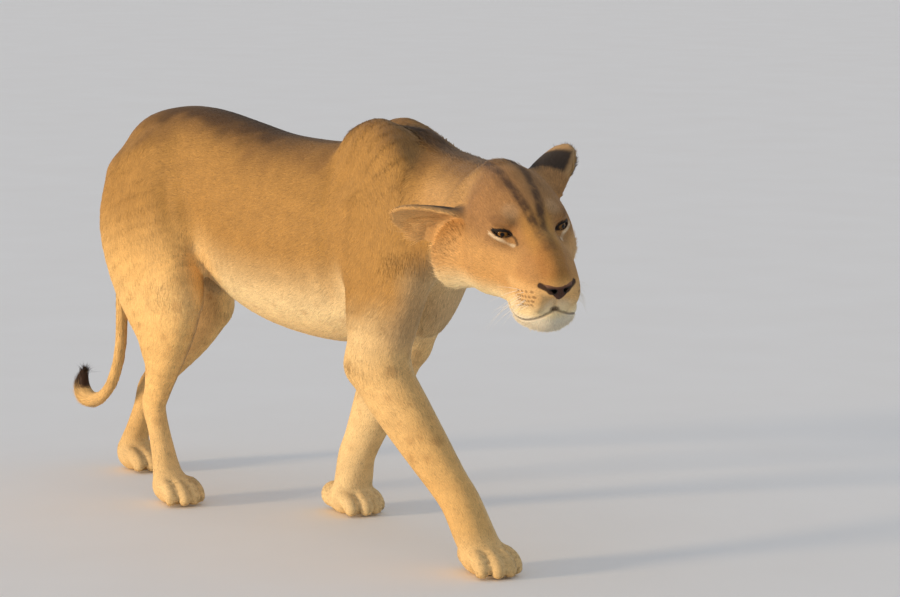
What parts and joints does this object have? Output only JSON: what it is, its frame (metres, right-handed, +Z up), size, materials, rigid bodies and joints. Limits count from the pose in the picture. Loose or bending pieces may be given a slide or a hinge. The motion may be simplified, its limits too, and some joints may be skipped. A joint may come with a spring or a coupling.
{
  "type": "lioness",
  "caption": "Life-size lioness in mid walk with her head low and turned to her right, standing on four paws with a curled tail end.",
  "frame": {"origin": "on the floor below the middle of the animal's box", "axes": "+X the way she walks, +Y to her left, +Z up"},
  "size_m": [1.9276, 0.5286, 0.873],
  "materials": {
    "fur": "short tawny fur",
    "fur_pale": "short pale tawny fur",
    "fur_dark": "short dark fur",
    "nose": "moist bare skin",
    "eye": "wet amber eye"
  },
  "bodies": {
    "root": {"ear_left": "fur_dark", "ear_right": "fur_dark", "eye_left": "eye", "eye_right": "eye", "foreleg_left": "fur_pale", "foreleg_right": "fur_pale", "forepaw_left": "fur_pale", "forepaw_right": "fur_pale", "head": "fur", "hindleg_left": "fur_pale", "hindleg_right": "fur_pale", "hindpaw_left": "fur_pale", "hindpaw_right": "fur_pale", "neck": "fur", "nose": "nose", "tail": "fur", "tail_end": "fur_dark", "trunk": "fur"}
  },
  "joints": []
}
